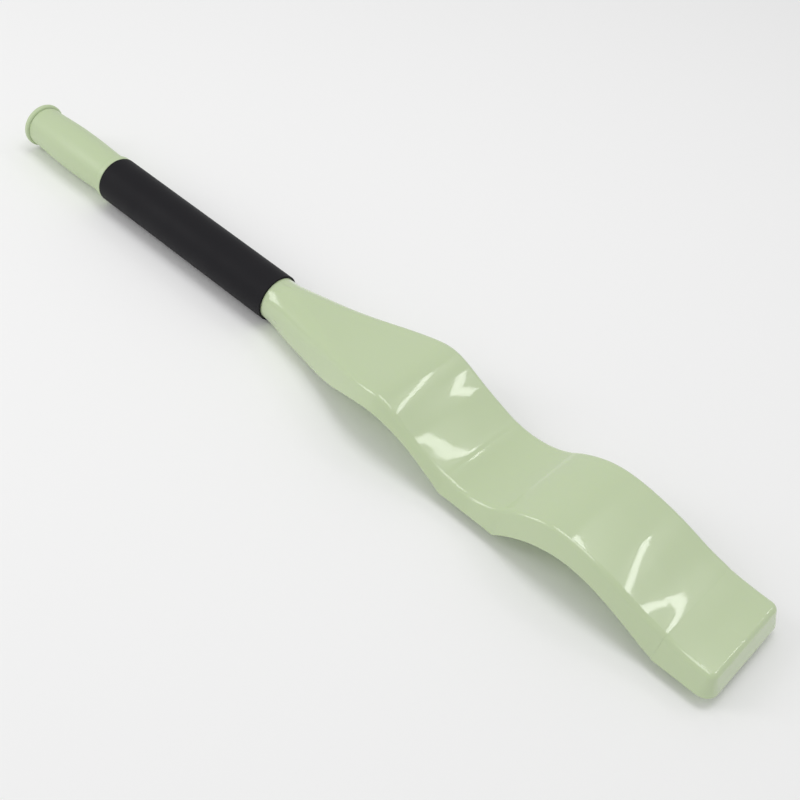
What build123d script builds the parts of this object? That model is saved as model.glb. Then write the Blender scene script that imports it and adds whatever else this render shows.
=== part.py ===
from build123d import *
import math
import os

# Wavy hand-held signal baton, lit from inside.  Millimetres, +Z up.
# The origin is the centre of the grip.  +X runs along the grip towards the blade's tip.

# ---------------------------------------------------------------- driving dimensions
GRIP_LENGTH = 168.0
GRIP_RADIUS = 17.0
MOUTH_X = GRIP_LENGTH / 2  # where the blade's neck leaves the grip
TAIL_X = -GRIP_LENGTH / 2  # where the grip meets the collar
BLADE_LENGTH = 374.0  # from the grip's mouth to the tip
FOOT_Z = -9.4  # flat underside of both feet
FOOT_HALF_WIDTH = 40.6  # blade, at its underside
FACE_HALF_WIDTH = 35.4  # blade, at its top face
WALL = 1.6  # moulded shell
COVER = 1.8  # base cover
HOLLOW_FLOOR = 1.2  # rim that is left round the cover
NECK_RADIUS = 15.5

CELL_RADIUS = 12.9
CELL_PITCH = 50.0
CELL_COUNT = 4
CELL_BORE = 13.2
TUBE_RADIUS = 15.55
LAP_RADIUS = 14.3  # turned-down ends of the grip tube

BARREL_FRONT_X = TAIL_X - 2.4
BARREL_END_X = -169.4
POMMEL_END_X = -173.5
POMMEL_RADIUS = 16.3
COLLAR_RADIUS = 16.8
PLUG_RADIUS = 13.28
BARREL_BORE = 13.35

# The blade's side view: distance from the grip's mouth, height.
CREST = [(0, 15.5), (22, 16.3), (44, 16.8), (62, 17.0), (80, 18.0), (95, 19.8), (110, 22.0),
         (125, 22.2), (138, 17.6), (150, 11.8), (160, 7.9), (175, 3.2), (190, 0.7), (204, 1.7),
         (218, 7.0), (232, 15.8), (245, 21.2), (258, 23.3), (278, 21.9), (300, 17.2),
         (325, 9.6), (350, 5.0), (374, 4.0)]
ARCHES = [(0, -15.5), (22, -17.4), (44, -14.8), (62, -9.6), (80, -1.4), (95, 5.2),
          (108, 9.6), (122, 11.6), (138, 9.2), (150, 5.4), (160, 1.2), (170, -3.6),
          (181, FOOT_Z), (223, FOOT_Z), (231, -3.2), (241, 2.6), (254, 7.6), (271, 9.8),
          (290, 7.2), (305, 2.4), (320, -3.6), (336, FOOT_Z), (374, FOOT_Z)]
# The blade's plan: distance from the mouth, half-width at the underside and at the face.
FLARE = [(0, 15.5, 15.5), (22, 18.2, 18.2), (44, 22.4, 21.8), (62, 26.8, 24.8), (80, 32.2, 28.6),
         (95, 36.6, 32.0), (110, 39.6, 34.5), (125, FOOT_HALF_WIDTH, FACE_HALF_WIDTH),
         (BLADE_LENGTH, FOOT_HALF_WIDTH, FACE_HALF_WIDTH)]
# Corner radii of the cross-section: distance from the mouth, top corners, bottom corners.
CORNERS = [(0, 15.2, 15.2), (22, 15.4, 15.2), (44, 12.5, 11.0), (62, 8.5, 5.5), (80, 4.6, 1.2),
           (95, 3.6, 0.9), (BLADE_LENGTH, 3.6, 0.9)]

# Stations of each stretch of the blade.  The underside turns sharply between stretches.
FIRST_ARCH = (0, 22, 44, 62, 80, 95, 110, 125, 138, 150, 160, 170, 181)
FIRST_FOOT = (181, 195, 209, 223)
SECOND_ARCH = (223, 232, 245, 258, 272, 288, 304, 320, 336)
COVER_START = 84.0
TIP_TAPER = 18.0
TIP_CORNER = 9.0

SCREW_PLACES = [(x, y) for x in (122, 202, 271, 352) for y in (-29, 29)]
LED_STATIONS = [104, 119, 133] + [184 + 15 * i for i in range(12)]


def smooth(points, x, column=1):
    """Value at x on a smooth curve through the points."""
    at = max(i for i in range(len(points) - 1) if points[i][0] <= x or i == 0)

    def slope(i):
        low, high = max(i - 1, 0), min(i + 1, len(points) - 1)
        return (points[high][column] - points[low][column]) / (points[high][0] - points[low][0])

    span = points[at + 1][0] - points[at][0]
    t = (x - points[at][0]) / span
    a, b = points[at][column], points[at + 1][column]
    return (a * (1 + 2 * t) * (1 - t) ** 2 + b * t * t * (3 - 2 * t)
            + span * t * (1 - t) * (slope(at) * (1 - t) - slope(at + 1) * t))


def linear(points, x, column=1):
    """Value at x on straight runs between the points."""
    for low, high in zip(points, points[1:]):
        if x <= high[0]:
            share = (x - low[0]) / (high[0] - low[0])
            return low[column] + share * (high[column] - low[column])
    return points[-1][column]


def underside(x):
    """Height of the blade's underside: smooth on each arch, flat on the feet."""
    stretches = [[p for p in ARCHES if low <= p[0] <= high]
                 for low, high in ((0, 181), (181, 223), (223, 336), (336, 374))]
    stretch = next(s for s in stretches if x <= s[-1][0])
    return smooth(stretch, x)


def section(x, wall, floor):
    """One cross-section of the blade: a tapered block with rounded corners."""
    half_foot = smooth(FLARE, x, 1) - wall
    half_face = smooth(FLARE, x, 2) - wall
    top = smooth(CREST, x) - wall
    bottom = underside(x) + floor
    with BuildSketch(Plane.YZ.offset(MOUTH_X + x)) as outline:
        with BuildLine():
            Polyline((-half_foot, bottom), (half_foot, bottom), (half_face, top), (-half_face, top),
                     close=True)
        make_face()
        upper = outline.vertices().group_by(Axis.Y)[-1]
        fillet(upper, linear(CORNERS, x, 1) - wall)
        lower = outline.vertices().group_by(Axis.Y)[0]
        fillet(lower, max(linear(CORNERS, x, 2) - wall, 0.5))
    return outline.sketch


def stretch_of_blade(stations, wall, floor):
    """A smooth length of the blade through its cross-sections."""
    with BuildPart() as length:
        loft([section(x, wall, floor) for x in stations])
    return length.part


def tip_of_blade(wall, floor):
    """The last foot, whose end wall and corners taper upwards."""
    start, end = SECOND_ARCH[-1], BLADE_LENGTH
    side = Plane(origin=(MOUTH_X, 0, 0), x_dir=(1, 0, 0), z_dir=(0, -1, 0))
    crest = [(x, smooth(CREST, x) - wall) for x in (start, 345, 355, 365, end)]
    with BuildPart() as tip:
        with BuildSketch(side):
            with BuildLine():
                Spline(crest)
                Polyline(crest[-1], (end, FOOT_Z + floor), (start, FOOT_Z + floor), crest[0])
            make_face()
        extrude(amount=60, both=True)
        with BuildSketch(Plane.XY.offset(FOOT_Z)) as plan:
            with Locations((MOUTH_X + end - wall - 60, 0)):
                Rectangle(120, 2 * (FOOT_HALF_WIDTH - wall))
            fillet(plan.vertices().group_by(Axis.X)[-1], TIP_CORNER - wall)
        extrude(amount=30, taper=TIP_TAPER, mode=Mode.INTERSECT)
        upper = tip.faces().filter_by(lambda f: f.normal_at().Z > 0.7).edges()
        fillet(upper.filter_by(lambda e: e.center().X > MOUTH_X + start + 1), 3.6 - wall)
    return tip.part


def whole_blade(wall=0.0, floor=0.0):
    """The blade from neck to tip, shrunk by the wall and raised by the floor."""
    solid = stretch_of_blade(FIRST_ARCH, wall, floor)
    for stations in (FIRST_FOOT, SECOND_ARCH):
        solid += stretch_of_blade(stations, wall, floor)
    return solid + tip_of_blade(wall, floor)


def wavy_sheet(low, high, half_width, start, end):
    """A sheet that follows the underside, between two heights above it."""
    side = Plane(origin=(MOUTH_X, 0, 0), x_dir=(1, 0, 0), z_dir=(0, -1, 0))
    first = (80, 95, 108, 122, 138, 150, 160, 170, 181)
    second = (223, 231, 241, 254, 271, 290, 305, 320, 336)
    with BuildPart() as sheet:
        with BuildSketch(side):
            with BuildLine():
                for height in (low, high):
                    Spline([(x, underside(x) + height) for x in first])
                    Line((181, FOOT_Z + height), (223, FOOT_Z + height))
                    Spline([(x, underside(x) + height) for x in second])
                    Line((336, FOOT_Z + height), (BLADE_LENGTH, FOOT_Z + height))
                for x in (first[0], BLADE_LENGTH):
                    Line((x, underside(x) + low), (x, underside(x) + high))
            make_face()
        extrude(amount=half_width, both=True)
        with Locations((MOUTH_X + (start + end) / 2, 0, 0)):
            Box(end - start, 2 * half_width, 100, mode=Mode.INTERSECT)
    return sheet.part


def cover_outline(clearance):
    """Plan of the base cover: inside the side walls, with the tip's rounded corners."""
    wall = WALL + clearance
    places = [COVER_START + clearance, 95, 110, 125]
    edge = [(MOUTH_X + x, smooth(FLARE, x, 1) - wall - 0.6) for x in places]
    tip = MOUTH_X + BLADE_LENGTH - wall - 1.0
    with BuildPart() as block:
        with BuildSketch(Plane.XY.offset(-40)) as plan:
            with BuildLine():
                Spline(edge, tangents=((1, 0.22), (1, 0)), tangent_scalars=(1, 1))
                Line(edge[-1], (tip, edge[-1][1]))
                Line((tip, edge[-1][1]), (tip, 0))
                Line((tip, 0), (edge[0][0], 0))
                Line((edge[0][0], 0), edge[0])
            make_face()
            mirror(about=Plane.XZ)
            corners = plan.vertices().group_by(Axis.X)[-1]
            fillet([v for v in corners if abs(v.Y) > 10], TIP_CORNER - wall)
        extrude(amount=100)
    return block.part


def save(part, name):
    """Label a finished piece and write its file."""
    part.label = name
    export_step(part, f"parts/{name}.step")


def turned(profile, name):
    """A piece turned about the grip's axis, from its (x, radius) outline."""
    with BuildPart() as piece:
        with BuildSketch(Plane.XZ):
            with BuildLine():
                Polyline(*profile, close=True)
            make_face()
        revolve(axis=Axis.X)
    save(piece.part, name)
    return piece.part


os.makedirs("parts", exist_ok=True)

# ---------------------------------------------------------------- blade shell
# One moulding: the neck tube that slides over the grip tube, the top face and the side walls.
blade_outer = whole_blade()
blade_hollow = whole_blade(WALL, HOLLOW_FLOOR)
cover_pocket = wavy_sheet(-8, COVER, 60, COVER_START, BLADE_LENGTH) & cover_outline(0)

with BuildPart() as boss_pins:
    for x, y in SCREW_PLACES:
        with BuildSketch(Plane.XY.offset(underside(x) + COVER)):
            with Locations((MOUTH_X + x, y)):
                Circle(3.2)
        extrude(amount=20)
bosses = boss_pins.part & blade_hollow

with BuildPart() as blade_shell:
    add(blade_outer)
    add(blade_hollow, mode=Mode.SUBTRACT)
    with BuildSketch(Plane.YZ.offset(MOUTH_X - 26)):
        Circle(NECK_RADIUS - 0.05)
    extrude(amount=26)
    with BuildSketch(Plane.YZ.offset(MOUTH_X - 26)):
        Circle(LAP_RADIUS + 0.05)
    extrude(amount=20, mode=Mode.SUBTRACT)
    with BuildSketch(Plane.YZ.offset(MOUTH_X - 7)):
        Circle(13.4)
    extrude(amount=9, mode=Mode.SUBTRACT)
    add(bosses)
    add(cover_pocket, mode=Mode.SUBTRACT)
    for x, y in SCREW_PLACES:
        with BuildSketch(Plane.XY.offset(underside(x) + COVER)):
            with Locations((MOUTH_X + x, y)):
                Circle(1.25)
        extrude(amount=5.6, mode=Mode.SUBTRACT)
    with Locations(Plane.YZ.offset(MOUTH_X - 16)):
        with PolarLocations(0, 3, start_angle=90):
            with Locations(Location((0, 0, 0), (0, 90, 0))):
                Cylinder(1.25, 20, align=(Align.CENTER, Align.CENTER, Align.MIN), mode=Mode.SUBTRACT)
save(blade_shell.part, "blade_shell")

# ---------------------------------------------------------------- base cover
with BuildPart() as base_cover:
    add(wavy_sheet(0, COVER, 60, COVER_START + 0.2, BLADE_LENGTH - 1) & cover_outline(0.2))
    add(blade_outer, mode=Mode.INTERSECT)
    for x, y in SCREW_PLACES:
        with BuildSketch(Plane.XY.offset(underside(x) - 5)):
            with Locations((MOUTH_X + x, y)):
                Circle(1.4)
        extrude(amount=15, mode=Mode.SUBTRACT)
        with BuildSketch(Plane.XY.offset(underside(x) - 5)):
            with Locations((MOUTH_X + x, y)):
                Circle(2.9)
        extrude(amount=6.1, mode=Mode.SUBTRACT)
save(base_cover.part, "base_cover")

# ---------------------------------------------------------------- cover screws
with BuildPart() as cover_screws:
    for x, y in SCREW_PLACES:
        seat = underside(x) + 1.1
        with BuildSketch(Plane.XY.offset(seat - 1.0)):
            with Locations((MOUTH_X + x, y)):
                Circle(2.7)
        extrude(amount=1.0)
        with BuildSketch(Plane.XY.offset(seat)):
            with Locations((MOUTH_X + x, y)):
                Circle(1.23)
        extrude(amount=6.0)
        with BuildSketch(Plane.XY.offset(seat - 1.0)):
            with Locations((MOUTH_X + x, y)):
                Rectangle(3.2, 0.7)
                Rectangle(0.7, 3.2)
        extrude(amount=0.6, mode=Mode.SUBTRACT)
save(cover_screws.part, "cover_screws")

# ---------------------------------------------------------------- light source in the blade
REFLECTOR = 0.4
STRIP = 0.4
STRIP_TOP = COVER + REFLECTOR + STRIP
save(wavy_sheet(COVER, COVER + REFLECTOR, 24, 90, 366), "reflector_sheet")
save(wavy_sheet(COVER + REFLECTOR, STRIP_TOP, 5, 88, 364), "led_strip")

with BuildPart() as leds:
    for x in LED_STATIONS:
        rise = math.degrees(math.atan2(underside(x + 1) - underside(x - 1), 2))
        base = Location((MOUTH_X + x, 0, underside(x) + STRIP_TOP + 0.25), (0, -rise, 0))
        with Locations(base):
            Box(5, 5, 1.4, align=(Align.CENTER, Align.CENTER, Align.MIN))
save(leds.part, "leds")

with BuildPart() as strip_clips:
    for x in (191.5, 206.5, 341.5, 356.5):
        foot = FOOT_Z + COVER + REFLECTOR
        with Locations((MOUTH_X + x, 0, foot)):
            Box(3, 13, 1.1, align=(Align.CENTER, Align.CENTER, Align.MIN))
            Box(3, 10.3, STRIP + 0.1, align=(Align.CENTER, Align.CENTER, Align.MIN), mode=Mode.SUBTRACT)
save(strip_clips.part, "strip_clips")

# ---------------------------------------------------------------- driver in the neck
BOARD_START = 70.0
BOARD_END = 130.0
CARRIER_TOP = -1.6

with BuildPart() as board_carrier:
    with BuildSketch(Plane.YZ.offset(62.1)):
        Circle(12.9)
        Circle(3, mode=Mode.SUBTRACT)
    extrude(amount=2)
    with Locations((64.1, 0, CARRIER_TOP)):
        Box(70, 19, 2.2, align=(Align.MIN, Align.CENTER, Align.MAX))
    with Locations((BOARD_START + 4, 0, CARRIER_TOP), (BOARD_END - 4, 0, CARRIER_TOP)):
        Cylinder(1.0, 5, mode=Mode.SUBTRACT)
save(board_carrier.part, "board_carrier")

with BuildPart() as driver_board:
    with Locations((BOARD_START, 0, CARRIER_TOP)):
        Box(BOARD_END - BOARD_START, 18, 1.6, align=(Align.MIN, Align.CENTER, Align.MIN))
    with Locations((BOARD_START + 4, 0, 0), (BOARD_END - 4, 0, 0)):
        Cylinder(1.15, 6, mode=Mode.SUBTRACT)
save(driver_board.part, "driver_board")

with BuildPart() as board_screws:
    with Locations((BOARD_START + 4, 0, 0), (BOARD_END - 4, 0, 0)):
        Cylinder(2.0, 1.2, align=(Align.CENTER, Align.CENTER, Align.MIN))
        Cylinder(0.98, 3.4, align=(Align.CENTER, Align.CENTER, Align.MAX))
save(board_screws.part, "board_screws")

with BuildPart() as driver_chip:
    with Locations((86, -3.5, 0)):
        Box(6, 5, 1.5, align=(Align.CENTER, Align.CENTER, Align.MIN))
save(driver_chip.part, "driver_chip")

with BuildPart() as driver_inductor:
    with Locations((99, 0, 0)):
        Cylinder(4.2, 4.5, align=(Align.CENTER, Align.CENTER, Align.MIN))
        Cylinder(2.4, 5.0, align=(Align.CENTER, Align.CENTER, Align.MIN))
save(driver_inductor.part, "driver_inductor")

with BuildPart() as driver_capacitor:
    with Locations((111, 0, 0)):
        Cylinder(3.2, 7.0, align=(Align.CENTER, Align.CENTER, Align.MIN))
save(driver_capacitor.part, "driver_capacitor")

with BuildPart() as driver_resistors:
    with Locations((83, 4, 0), (87, 4, 0), (91, 4, 0), (105, 6, 0), (105, -6, 0)):
        Box(2, 1.25, 0.6, align=(Align.CENTER, Align.CENTER, Align.MIN))
save(driver_resistors.part, "driver_resistors")

with BuildPart() as strip_connector:
    with Locations((118.5, 0, 0)):
        Box(5, 8, 4, align=(Align.CENTER, Align.CENTER, Align.MIN))
save(strip_connector.part, "strip_connector")

# Two leads run from the connector to the solder pads of the LED strip.
for name, y in (("lead_positive", 2.0), ("lead_negative", -2.0)):
    with BuildPart() as lead:
        with BuildLine():
            route = FilletPolyline((121.1, y, 2.6), (142, y, 2.6), (160, y, 7.2), (174.5, y, 7.2),
                                   radius=14)
        with BuildSketch(Plane(route @ 0, z_dir=route % 0)):
            Circle(0.6)
        sweep()
    save(lead.part, name)

# ---------------------------------------------------------------- grip
with BuildPart() as grip_tube:
    with BuildSketch(Plane.XZ):
        with BuildLine():
            Polyline((TAIL_X - 12, CELL_BORE), (MOUTH_X - 6.5, CELL_BORE), (MOUTH_X - 6.5, LAP_RADIUS),
                     (MOUTH_X - 26.2, LAP_RADIUS), (MOUTH_X - 26.2, TUBE_RADIUS), (TAIL_X, TUBE_RADIUS),
                     (TAIL_X, LAP_RADIUS - 0.1), (TAIL_X - 12, LAP_RADIUS - 0.1), close=True)
        make_face()
    revolve(axis=Axis.X)
    with Locations(Plane.YZ.offset(MOUTH_X - 16)):
        with PolarLocations(0, 3, start_angle=90):
            with Locations(Location((0, 0, 0), (0, 90, 0))):
                Cylinder(1.25, 20, align=(Align.CENTER, Align.CENTER, Align.MIN), mode=Mode.SUBTRACT)
save(grip_tube.part, "grip_tube")

with BuildPart() as neck_screws:
    with Locations(Plane.YZ.offset(MOUTH_X - 16)):
        with PolarLocations(0, 3, start_angle=90):
            with Locations(Location((0, 0, 0), (0, 90, 0))):
                with Locations((0, 0, 13.3)):
                    Cylinder(1.2, 1.95, align=(Align.CENTER, Align.CENTER, Align.MIN))
                with Locations((0, 0, 14.5)):
                    Box(1.2, 0.5, 1.0, align=(Align.CENTER, Align.CENTER, Align.MIN), mode=Mode.SUBTRACT)
save(neck_screws.part, "neck_screws")

with BuildPart() as grip_sleeve:
    with BuildSketch(Plane.YZ.offset(TAIL_X)):
        Circle(GRIP_RADIUS)
        Circle(TUBE_RADIUS + 0.05, mode=Mode.SUBTRACT)
    extrude(amount=GRIP_LENGTH)
    rims = grip_sleeve.edges().filter_by(GeomType.CIRCLE).group_by(SortBy.RADIUS)[-1]
    fillet(rims, 0.5)
save(grip_sleeve.part, "grip_sleeve")

# ---------------------------------------------------------------- cells and front contact
CELL_FRONT_X = 57.4
turned([(58.0, 1.55), (58.0, 13.1), (62.0, 13.1), (62.0, 1.55)], "bulkhead")
turned([(57.5, 0), (57.5, 6), (58.0, 6), (58.0, 1.5), (64.5, 1.5), (64.5, 0)], "positive_contact")
for number in range(CELL_COUNT):
    front = CELL_FRONT_X - CELL_PITCH * number
    turned([(front, 0), (front, 3.3), (front - 1.6, 3.3), (front - 1.6, 11.9), (front - 2.6, CELL_RADIUS),
            (front - 49.2, CELL_RADIUS), (front - 49.9, 12.2), (front - 49.9, 0)], f"cell_{number + 1}")

# ---------------------------------------------------------------- collar and twist bearing
with BuildPart() as collar_ring:
    with BuildSketch(Plane.XZ):
        with BuildLine():
            Polyline((TAIL_X - 0.05, 14.22), (TAIL_X - 0.05, COLLAR_RADIUS), (TAIL_X - 4.6, COLLAR_RADIUS),
                     (TAIL_X - 4.6, 15.5), (TAIL_X - 3.8, 15.5), (TAIL_X - 3.8, 16.02),
                     (TAIL_X - 1.8, 16.02), (TAIL_X - 1.8, 14.22), close=True)
        make_face()
    revolve(axis=Axis.X)
    rims = collar_ring.edges().filter_by(GeomType.CIRCLE).group_by(SortBy.RADIUS)[-1]
    fillet(rims, 0.7)
save(collar_ring.part, "collar_ring")
turned([(TAIL_X - 1.85, 14.3), (TAIL_X - 1.85, 15.8), (TAIL_X - 2.3, 15.8), (TAIL_X - 2.3, 14.3)],
       "thrust_washer")

with BuildPart() as contact_track:
    with BuildSketch(Plane.YZ.offset(TAIL_X - 13.4)):
        Circle(14.1)
        Circle(13.25, mode=Mode.SUBTRACT)
    extrude(amount=1.35)
    with BuildSketch(Plane.YZ.offset(TAIL_X - 13.4)):
        with PolarLocations(13.7, 3):
            Rectangle(2, 3)
    extrude(amount=0.5, mode=Mode.SUBTRACT)
save(contact_track.part, "contact_track")

# ---------------------------------------------------------------- twisting end handle
BARREL_OUTLINE = [(TAIL_X - 3.6, 15.2), (-96, 15.3), (-108, 15.7), (-122, 16.05), (-136, 16.0),
                  (-148, 15.55), (-158, 14.95), (BARREL_END_X, 14.6)]
with BuildPart() as end_handle_barrel:
    with BuildSketch(Plane.XZ):
        with BuildLine():
            Spline(BARREL_OUTLINE)
            Polyline(BARREL_OUTLINE[-1], (BARREL_END_X, BARREL_BORE), (-155.4, BARREL_BORE),
                     (-155.4, 13.55), (-97.9, 13.55), (-97.9, LAP_RADIUS - 0.05),
                     (BARREL_FRONT_X, LAP_RADIUS - 0.05), (BARREL_FRONT_X, 15.75),
                     (TAIL_X - 3.6, 15.75), BARREL_OUTLINE[0])
        make_face()
    revolve(axis=Axis.X)
save(end_handle_barrel.part, "end_handle_barrel")

with BuildPart() as battery_liner:
    with BuildSketch(Plane.XZ):
        with BuildLine():
            Polyline((-155.3, 13.22), (-155.3, 13.54), (-97.88, 13.54), (-97.88, 14.1),
                     (-97.45, 14.1), (-97.45, 13.22), close=True)
        make_face()
    revolve(axis=Axis.X)
    with BuildSketch(Plane.YZ.offset(-97.88)):
        with PolarLocations(13.7, 3, start_angle=60):
            Rectangle(2, 9)
    extrude(amount=0.5, mode=Mode.SUBTRACT)
save(battery_liner.part, "battery_liner")

# ---------------------------------------------------------------- screw cap at the pommel
with BuildPart() as pommel_cap:
    with BuildSketch(Plane.XZ):
        with BuildLine():
            Polyline((POMMEL_END_X, 0), (POMMEL_END_X, POMMEL_RADIUS), (-169.6, POMMEL_RADIUS),
                     (-169.6, PLUG_RADIUS), (-163.4, PLUG_RADIUS), (-163.4, 12.2), (-161.6, 12.2),
                     (-161.6, PLUG_RADIUS), (-156, PLUG_RADIUS), (-156, 11.3), (-170.0, 11.3),
                     (-170.0, 0), close=True)
        make_face()
    revolve(axis=Axis.X)
    rims = pommel_cap.edges().filter_by(GeomType.CIRCLE).group_by(SortBy.RADIUS)[-1]
    fillet(rims, 1.5)
    with BuildSketch(Plane.YZ.offset(POMMEL_END_X)):
        SlotOverall(16, 2.2)
    extrude(amount=1.4, mode=Mode.SUBTRACT)
save(pommel_cap.part, "pommel_cap")

with BuildPart() as pommel_o_ring:
    with BuildSketch(Plane.XZ):
        with Locations((-162.5, 12.76)):
            Circle(0.55)
    revolve(axis=Axis.X)
save(pommel_o_ring.part, "pommel_o_ring")

turned([(-169.95, 0), (-169.95, 11.25), (-155.8, 11.25), (-155.8, 13.2), (-155.35, 13.2), (-155.35, 10.9),
        (-169.5, 10.9), (-169.5, 0)], "tail_contact")

with BuildPart() as battery_spring:
    with BuildLine():
        coil = Helix(pitch=5.0, height=25.0, radius=9.0, center=(-168.7, 0, 0), direction=(1, 0, 0))
    with BuildSketch(Plane(coil @ 0, z_dir=coil % 0)):
        Circle(0.6)
    sweep(is_frenet=True)
save(battery_spring.part, "battery_spring")
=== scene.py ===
import math

import bpy
from mathutils import Matrix, Vector

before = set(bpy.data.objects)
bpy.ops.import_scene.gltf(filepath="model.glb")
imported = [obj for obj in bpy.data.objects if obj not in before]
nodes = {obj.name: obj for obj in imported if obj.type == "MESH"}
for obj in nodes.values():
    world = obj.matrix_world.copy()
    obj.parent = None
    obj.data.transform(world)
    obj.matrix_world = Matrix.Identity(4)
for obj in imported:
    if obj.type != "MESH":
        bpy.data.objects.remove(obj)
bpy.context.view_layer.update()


# ---------------------------------------------------------------- green mouldings
# The blade, its cover and the end handle are injection-moulded in a pale green plastic.
# The mould leaves slow waves in the gloss, and handling leaves a faint uneven haze.
def socket(group, name, way, kind, value=None):
    made = group.interface.new_socket(name=name, in_out=way, socket_type=kind)
    if value is not None:
        made.default_value = value


def moulding_group():
    group = bpy.data.node_groups.new("moulded plastic", "ShaderNodeTree")
    socket(group, "Base", "INPUT", "NodeSocketColor", (0.5, 0.5, 0.5, 1))
    socket(group, "Shade", "INPUT", "NodeSocketColor", (0.4, 0.4, 0.4, 1))
    socket(group, "Roughness", "INPUT", "NodeSocketFloat", 0.3)
    socket(group, "Haze", "INPUT", "NodeSocketFloat", 0.06)
    socket(group, "Waves", "INPUT", "NodeSocketFloat", 0.2)
    socket(group, "Grain", "INPUT", "NodeSocketFloat", 0.1)
    socket(group, "Color", "OUTPUT", "NodeSocketColor")
    socket(group, "Roughness", "OUTPUT", "NodeSocketFloat")
    socket(group, "Normal", "OUTPUT", "NodeSocketVector")
    n = group.nodes
    link = group.links.new
    given = n.new("NodeGroupInput")
    out = n.new("NodeGroupOutput")
    place = n.new("ShaderNodeTexCoord")

    cloud = n.new("ShaderNodeTexNoise")
    cloud.inputs["Scale"].default_value = 14
    cloud.inputs["Detail"].default_value = 4
    link(place.outputs["Object"], cloud.inputs["Vector"])
    tint = n.new("ShaderNodeMix")
    tint.data_type = "RGBA"
    link(cloud.outputs["Fac"], tint.inputs["Factor"])
    link(given.outputs["Base"], tint.inputs["A"])
    link(given.outputs["Shade"], tint.inputs["B"])
    link(tint.outputs["Result"], out.inputs["Color"])

    smears = n.new("ShaderNodeTexNoise")
    smears.inputs["Scale"].default_value = 45
    smears.inputs["Detail"].default_value = 6
    smears.inputs["Distortion"].default_value = 0.6
    link(place.outputs["Object"], smears.inputs["Vector"])
    haze = n.new("ShaderNodeMath")
    haze.operation = "MULTIPLY_ADD"
    link(smears.outputs["Fac"], haze.inputs[0])
    link(given.outputs["Haze"], haze.inputs[1])
    link(given.outputs["Roughness"], haze.inputs[2])
    link(haze.outputs[0], out.inputs["Roughness"])

    waves = n.new("ShaderNodeTexNoise")
    waves.inputs["Scale"].default_value = 38
    waves.inputs["Detail"].default_value = 1
    link(place.outputs["Object"], waves.inputs["Vector"])
    slow = n.new("ShaderNodeBump")
    slow.inputs["Distance"].default_value = 0.0006
    link(given.outputs["Waves"], slow.inputs["Strength"])
    link(waves.outputs["Fac"], slow.inputs["Height"])
    grain = n.new("ShaderNodeTexNoise")
    grain.inputs["Scale"].default_value = 1600
    grain.inputs["Detail"].default_value = 2
    link(place.outputs["Object"], grain.inputs["Vector"])
    fine = n.new("ShaderNodeBump")
    fine.inputs["Distance"].default_value = 0.00012
    link(given.outputs["Grain"], fine.inputs["Strength"])
    link(grain.outputs["Fac"], fine.inputs["Height"])
    link(slow.outputs["Normal"], fine.inputs["Normal"])
    link(fine.outputs["Normal"], out.inputs["Normal"])
    return group


moulded = moulding_group()


def plastic(name, base, shade, roughness, haze, waves, grain, coat=0.0, subsurface=0.0):
    material = bpy.data.materials.new(name)
    material.use_nodes = True
    n = material.node_tree.nodes
    link = material.node_tree.links.new
    shader = n["Principled BSDF"]
    look = n.new("ShaderNodeGroup")
    look.node_tree = moulded
    look.inputs["Base"].default_value = (*base, 1)
    look.inputs["Shade"].default_value = (*shade, 1)
    look.inputs["Roughness"].default_value = roughness
    look.inputs["Haze"].default_value = haze
    look.inputs["Waves"].default_value = waves
    look.inputs["Grain"].default_value = grain
    link(look.outputs["Color"], shader.inputs["Base Color"])
    link(look.outputs["Roughness"], shader.inputs["Roughness"])
    link(look.outputs["Normal"], shader.inputs["Normal"])
    shader.inputs["IOR"].default_value = 1.5
    shader.inputs["Coat Weight"].default_value = coat
    shader.inputs["Coat Roughness"].default_value = 0.03
    shader.inputs["Subsurface Weight"].default_value = subsurface
    shader.inputs["Subsurface Radius"].default_value = (0.004, 0.005, 0.002)
    return material


def give(name, material, turn=32):
    """The piece takes the material, and its gentle edges are shaded smooth."""
    piece = nodes[name]
    piece.data.materials.clear()
    piece.data.materials.append(material)
    for face in piece.data.polygons:
        face.use_smooth = True
        face.material_index = 0
    with bpy.context.temp_override(object=piece, active_object=piece, selected_editable_objects=[piece]):
        bpy.ops.object.shade_auto_smooth(angle=math.radians(turn))
    return piece


blade_green = plastic("blade green", (0.575, 0.680, 0.430), (0.548, 0.655, 0.405),
                      0.15, 0.06, 0.22, 0.01, coat=0.6, subsurface=0.12)
give("blade_shell", blade_green)
give("base_cover", plastic("cover green", (0.540, 0.660, 0.390), (0.500, 0.620, 0.360),
                           0.34, 0.12, 0.25, 0.25))

# ---------------------------------------------------------------- end handle, collar and cap
# The handle turns in the hand, so it is moulded with less gloss than the blade.
# The cap is of the same plastic, and the collar is a little glossier.
handle_green = plastic("handle green", (0.555, 0.660, 0.415), (0.528, 0.636, 0.392),
                       0.36, 0.10, 0.30, 0.15, subsurface=0.08)
give("end_handle_barrel", handle_green)
give("pommel_cap", handle_green)
give("collar_ring", plastic("collar green", (0.550, 0.655, 0.412), (0.524, 0.632, 0.390),
                            0.30, 0.10, 0.20, 0.10, subsurface=0.08))

# ---------------------------------------------------------------- grip sleeve
# A soft-touch rubber sleeve is pulled over the grip tube, and covers it from end to end.
# It is nearly black and matt, with a fine grain and faint cloudy variation.
rubber = plastic("sleeve rubber", (0.0060, 0.0056, 0.0078), (0.0085, 0.0080, 0.0105),
                 0.52, 0.14, 0.10, 0.55)
rubber.node_tree.nodes["Principled BSDF"].inputs["IOR"].default_value = 1.3
give("grip_sleeve", rubber)

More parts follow.
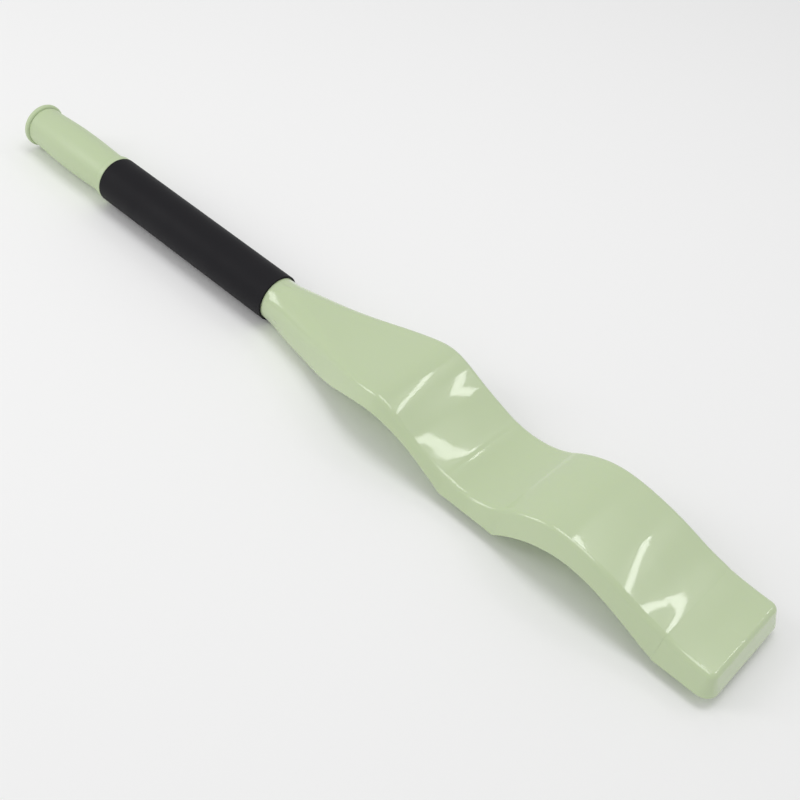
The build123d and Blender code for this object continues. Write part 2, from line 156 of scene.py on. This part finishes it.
# ---------------------------------------------------------------- metal parts
# The tube is drawn aluminium, the contacts are brass, and the fasteners are plated steel.
# Drawing and turning leave fine rings, which show as a banded roughness.
def metal(name, colour, roughness, rings):
    material = bpy.data.materials.new(name)
    material.use_nodes = True
    n = material.node_tree.nodes
    link = material.node_tree.links.new
    shader = n["Principled BSDF"]
    shader.inputs["Metallic"].default_value = 1
    place = n.new("ShaderNodeTexCoord")
    band = n.new("ShaderNodeTexNoise")
    band.inputs["Scale"].default_value = 300
    band.inputs["Detail"].default_value = 3
    stretch = n.new("ShaderNodeMapping")
    stretch.inputs["Scale"].default_value = (rings, 0.15, 0.15)
    link(place.outputs["Object"], stretch.inputs["Vector"])
    link(stretch.outputs["Vector"], band.inputs["Vector"])
    tone = n.new("ShaderNodeMix")
    tone.data_type = "RGBA"
    tone.inputs["A"].default_value = (*colour, 1)
    tone.inputs["B"].default_value = (*[0.82 * c for c in colour], 1)
    link(band.outputs["Fac"], tone.inputs["Factor"])
    link(tone.outputs["Result"], shader.inputs["Base Color"])
    rough = n.new("ShaderNodeMapRange")
    rough.inputs["To Min"].default_value = roughness * 0.8
    rough.inputs["To Max"].default_value = roughness * 1.3
    link(band.outputs["Fac"], rough.inputs["Value"])
    link(rough.outputs["Result"], shader.inputs["Roughness"])
    ridge = n.new("ShaderNodeBump")
    ridge.inputs["Strength"].default_value = 0.15
    ridge.inputs["Distance"].default_value = 0.00005
    link(band.outputs["Fac"], ridge.inputs["Height"])
    link(ridge.outputs["Normal"], shader.inputs["Normal"])
    return material


give("grip_tube", metal("drawn aluminium", (0.74, 0.75, 0.76), 0.35, 1.0))
brass = metal("contact brass", (0.75, 0.58, 0.30), 0.28, 1.0)
for name in ("positive_contact", "contact_track", "battery_liner", "tail_contact"):
    give(name, brass)
plated_steel = metal("zinc plated steel", (0.66, 0.66, 0.65), 0.38, 0.6)
for name in ("cover_screws", "board_screws"):
    give(name, plated_steel)
give("neck_screws", metal("blackened steel", (0.06, 0.06, 0.065), 0.45, 0.6))
give("battery_spring", metal("spring wire", (0.70, 0.70, 0.71), 0.22, 0.6))
give("driver_capacitor", metal("capacitor can", (0.76, 0.77, 0.78), 0.30, 0.4))

# ---------------------------------------------------------------- inside the blade and the grip
# The lighting parts, the driver and the cells are bought-in pieces, each in its own plastic.
# They sit behind the cover and in the tube, and show only when the baton is opened.
inside = {
    "reflector_sheet": ("reflector white", (0.86, 0.86, 0.84), 0.55),
    "led_strip": ("strip white", (0.80, 0.81, 0.78), 0.45),
    "leds": ("phosphor resin", (0.86, 0.80, 0.38), 0.22),
    "strip_clips": ("natural nylon", (0.74, 0.74, 0.68), 0.45),
    "strip_connector": ("connector nylon", (0.72, 0.72, 0.66), 0.45),
    "board_carrier": ("carrier black", (0.030, 0.030, 0.033), 0.50),
    "bulkhead": ("bulkhead black", (0.028, 0.028, 0.030), 0.52),
    "driver_board": ("board green", (0.015, 0.090, 0.040), 0.30),
    "driver_chip": ("chip epoxy", (0.018, 0.018, 0.020), 0.40),
    "driver_resistors": ("resistor epoxy", (0.020, 0.020, 0.022), 0.40),
    "driver_inductor": ("ferrite", (0.045, 0.045, 0.047), 0.60),
    "lead_positive": ("red insulation", (0.420, 0.018, 0.014), 0.35),
    "lead_negative": ("black insulation", (0.014, 0.014, 0.015), 0.35),
    "thrust_washer": ("washer white", (0.80, 0.80, 0.79), 0.40),
    "pommel_o_ring": ("nitrile", (0.012, 0.012, 0.013), 0.50),
}
for name, (finish, colour, roughness) in inside.items():
    give(name, plastic(finish, colour, tuple(0.88 * c for c in colour), roughness, 0.10, 0.15, 0.20))
jacket = plastic("cell jacket", (0.030, 0.055, 0.140), (0.026, 0.048, 0.120), 0.24, 0.08, 0.20, 0.05)
for number in range(1, 5):
    give(f"cell_{number}", jacket)

# ---------------------------------------------------------------- floor and light
# The floor is a pale matt sweep. Large softboxes are overhead and at the left, two narrow
# strip lights stand behind, and the room fills the shadows.
bpy.ops.mesh.primitive_plane_add(size=60, location=(0.14, 0, -0.0176))
floor = bpy.context.object
floor.name = "floor"
paper = bpy.data.materials.new("floor paper")
paper.use_nodes = True
paper.node_tree.nodes["Principled BSDF"].inputs["Base Color"].default_value = (0.97, 0.97, 0.97, 1)
paper.node_tree.nodes["Principled BSDF"].inputs["Roughness"].default_value = 0.9
floor.data.materials.append(paper)


def softbox(name, place, aim, width, height, power):
    light = bpy.data.lights.new(name, "AREA")
    light.shape = "RECTANGLE"
    light.size = width
    light.size_y = height
    light.energy = power
    lamp = bpy.data.objects.new(name, light)
    lamp.location = place
    lamp.rotation_euler = (Vector(aim) - Vector(place)).to_track_quat("-Z", "Y").to_euler()
    bpy.context.collection.objects.link(lamp)


softbox("overhead softbox", (0.10, 0.15, 1.60), (0.14, 0, 0), 0.9, 0.7, 6)
softbox("left softbox", (-0.9, -1.0, 0.9), (0.14, 0, 0), 0.5, 0.9, 5)
softbox("first strip light", (0.380, 0.905, 1.184), (0.229, -0.018, 0.014), 0.46, 0.026, 0.34)
softbox("second strip light", (0.747, 0.966, 1.107), (0.402, -0.018, 0.012), 0.27, 0.026, 0.22)

world = bpy.data.worlds.new("room")
bpy.context.scene.world = world
world.use_nodes = True
world.node_tree.nodes["Background"].inputs["Color"].default_value = (1, 1, 1, 1)
world.node_tree.nodes["Background"].inputs["Strength"].default_value = 0.60
bpy.context.scene.view_settings.view_transform = "Standard"

# ---------------------------------------------------------------- camera
# It stands to the right of the blade and above it, turned so that the baton lies
# on the diagonal, and takes in the whole length.
right = Vector((0.7322, 0.6640, 0.1514))
up = Vector((-0.5476, 0.4418, 0.7106))
back = Vector((0.4049, -0.6032, 0.6872))
lens = bpy.data.cameras.new("camera")
lens.sensor_width = 36
lens.lens = 54
lens.clip_start = 0.01
lens.clip_end = 50
camera = bpy.data.objects.new("camera", lens)
turn = Matrix((right, up, back)).transposed().to_4x4()
camera.matrix_world = Matrix.Translation((0.5070, -0.4608, 0.5167)) @ turn
bpy.context.collection.objects.link(camera)
bpy.context.scene.camera = camera
